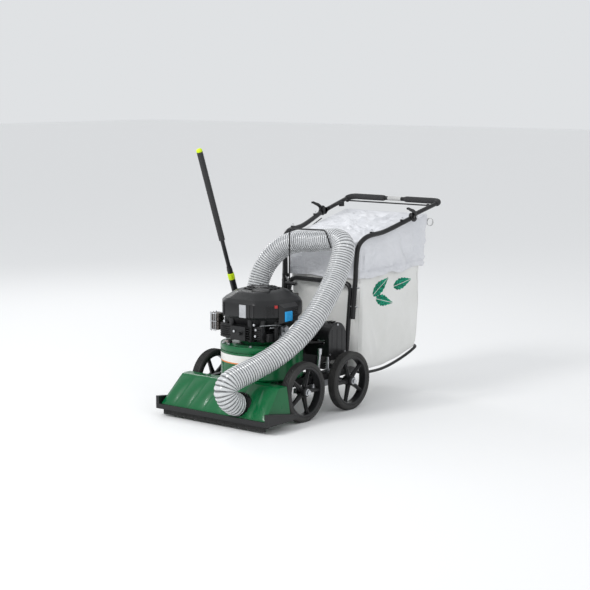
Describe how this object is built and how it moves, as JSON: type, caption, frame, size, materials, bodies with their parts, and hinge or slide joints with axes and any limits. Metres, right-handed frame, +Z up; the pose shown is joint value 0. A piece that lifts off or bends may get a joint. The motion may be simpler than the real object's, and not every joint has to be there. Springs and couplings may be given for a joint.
{
  "type": "walk-behind leaf vacuum mulcher",
  "caption": "Walk-behind leaf vacuum with a floor nozzle, vertical-shaft petrol engine on an impeller housing, spoked wheels, folding handle, fabric bag, and a hose with its pole.",
  "frame": {"origin": "on the floor, at the middle of the machine's length and width", "axes": "+Z up, +Y towards the operator at the handle, +X to the operator's left"},
  "size_m": [0.744, 1.6894, 1.3596],
  "materials": {
    "green_paint": "gloss",
    "black_paint": "satin powder coat",
    "black_plastic": "moulded, fine grain",
    "rubber": "matt",
    "tyre_rubber": "ribbed tread",
    "foam": "closed-cell foam",
    "steel": "zinc plated",
    "cast_aluminium": "as cast",
    "black_casting": "black stove enamel",
    "white_felt": "needled felt",
    "grey_shell": "coated woven nylon",
    "hose_plastic": "translucent with a wire helix",
    "lime_plastic": "satin",
    "blue_plastic": "satin"
  },
  "bodies": {
    "frame": {"nozzle_hood": "green_paint", "impeller_housing": "green_paint", "engine_deck": "green_paint", "hose_port": "black_plastic", "drive_cover": "black_plastic", "engine_shroud": "black_plastic", "starter_cover": "black_plastic", "air_filter_cover": "black_plastic", "fuel_tank": "black_plastic", "hose_tool": "black_plastic", "pole_socket": "black_plastic", "pole_clamp": "black_plastic", "front_bumper": "black_paint", "exhaust_duct": "black_paint", "chassis_frame": "black_paint", "frame_hoop": "black_paint", "lower_handle_left": "black_paint", "lower_handle_right": "black_paint", "hose_hook": "black_paint", "tool_holder": "black_paint", "bag_support": "black_paint", "rubber_skirt": "rubber", "drive_belt": "rubber", "drive_cable": "rubber", "muffler": "steel", "muffler_guard": "steel", "transmission": "cast_aluminium", "carburettor": "cast_aluminium", "crankcase": "black_casting", "bag_body": "white_felt", "bag_skirt": "grey_shell", "hose": "hose_plastic"},
    "height_yoke": {"height_yoke": "steel"},
    "wheel_front_left": {"tyre_front_left": "tyre_rubber", "wheel_front_left": "black_plastic"},
    "wheel_front_right": {"tyre_front_right": "tyre_rubber", "wheel_front_right": "black_plastic"},
    "rear_axle": {"rear_axle": "steel", "tyre_rear_left": "tyre_rubber", "wheel_rear_left": "black_plastic", "tyre_rear_right": "tyre_rubber", "wheel_rear_right": "black_plastic"},
    "crankshaft": {"crankshaft": "steel", "impeller": "steel", "flywheel": "cast_aluminium"},
    "gearbox_input": {"gearbox_input": "steel"},
    "upper_handle": {"upper_handle": "black_paint", "foam_grip_left": "foam", "foam_grip_right": "foam"},
    "throttle_lever": {"throttle_lever": "black_plastic"},
    "drive_bail": {"drive_bail": "black_paint"},
    "cam_lever_left": {"cam_lever_left": "black_plastic"},
    "cam_lever_right": {"cam_lever_right": "black_plastic"},
    "starter_grip": {"starter_grip": "black_plastic"},
    "fuel_cap": {"fuel_cap": "black_plastic"},
    "filter_latch": {"filter_latch": "blue_plastic"},
    "pole_collar": {"pole_collar": "lime_plastic"},
    "pole_slider": {"pole_shaft": "black_paint", "pole_grip": "foam", "pole_cap": "lime_plastic"}
  },
  "joints": [
    {"name": "height_adjust", "type": "hinge", "parent": "frame", "child": "height_yoke", "pos_m": [0, -0.262, 0.1525], "axis": [1, 0, 0], "range_deg": [-7, 7]},
    {"name": "front_left_roll", "type": "hinge", "parent": "height_yoke", "child": "wheel_front_left", "pos_m": [0.3, -0.431, 0.1525], "axis": [1, 0, 0], "continuous": true},
    {"name": "front_right_roll", "type": "hinge", "parent": "height_yoke", "child": "wheel_front_right", "pos_m": [-0.3, -0.431, 0.1525], "axis": [1, 0, 0], "continuous": true},
    {"name": "rear_axle_roll", "type": "hinge", "parent": "frame", "child": "rear_axle", "pos_m": [0, -0.048, 0.1525], "axis": [1, 0, 0], "continuous": true},
    {"name": "crank_spin", "type": "hinge", "parent": "frame", "child": "crankshaft", "pos_m": [0, -0.394, 0.4], "axis": [0, 0, 1], "continuous": true},
    {"name": "gearbox_spin", "type": "hinge", "parent": "frame", "child": "gearbox_input", "pos_m": [0.185, -0.082, 0.3], "axis": [0, 0, 1], "continuous": true},
    {"name": "handle_fold", "type": "hinge", "parent": "frame", "child": "upper_handle", "pos_m": [0, 0.513, 0.97], "axis": [1, 0, 0], "range_deg": [-4, 145]},
    {"name": "bail_squeeze", "type": "hinge", "parent": "upper_handle", "child": "drive_bail", "pos_m": [0, 0.7, 1.0165], "axis": [1, 0, 0], "range_deg": [-16, 3]},
    {"name": "throttle_turn", "type": "hinge", "parent": "upper_handle", "child": "throttle_lever", "pos_m": [-0.2747, 0.655, 1.004], "axis": [1, 0, 0], "range_deg": [-30, 0]},
    {"name": "cam_left_turn", "type": "hinge", "parent": "frame", "child": "cam_lever_left", "pos_m": [0.318, 0.513, 0.97], "axis": [1, 0, 0], "range_deg": [-60, 60]},
    {"name": "cam_right_turn", "type": "hinge", "parent": "frame", "child": "cam_lever_right", "pos_m": [-0.318, 0.513, 0.97], "axis": [1, 0, 0], "range_deg": [-60, 60]},
    {"name": "starter_pull", "type": "slide", "parent": "frame", "child": "starter_grip", "axis": [0, 0, 1], "range_m": [0, 0.7], "stiffness_N_per_m": 15, "springref_m": -0.05},
    {"name": "fuel_cap_turn", "type": "hinge", "parent": "frame", "child": "fuel_cap", "pos_m": [-0.084, -0.178, 0.61], "axis": [0, 0, 1], "range_deg": [0, 90]},
    {"name": "filter_latch_turn", "type": "hinge", "parent": "frame", "child": "filter_latch", "pos_m": [0.2225, -0.443, 0.502], "axis": [0, 1, 0], "range_deg": [0, 45]},
    {"name": "collar_twist", "type": "hinge", "parent": "frame", "child": "pole_collar", "pos_m": [-0.3, -0.2888, 0.6757], "axis": [0, -0.3415, 0.9399], "range_deg": [-45, 90]},
    {"name": "pole_slide", "type": "slide", "parent": "frame", "child": "pole_slider", "axis": [0, -0.3415, 0.9399], "range_m": [-0.12, 0.05]}
  ],
  "couplings": [
    {"joint": "gearbox_spin", "follows": "crank_spin", "ratio": 0.5455}
  ]
}
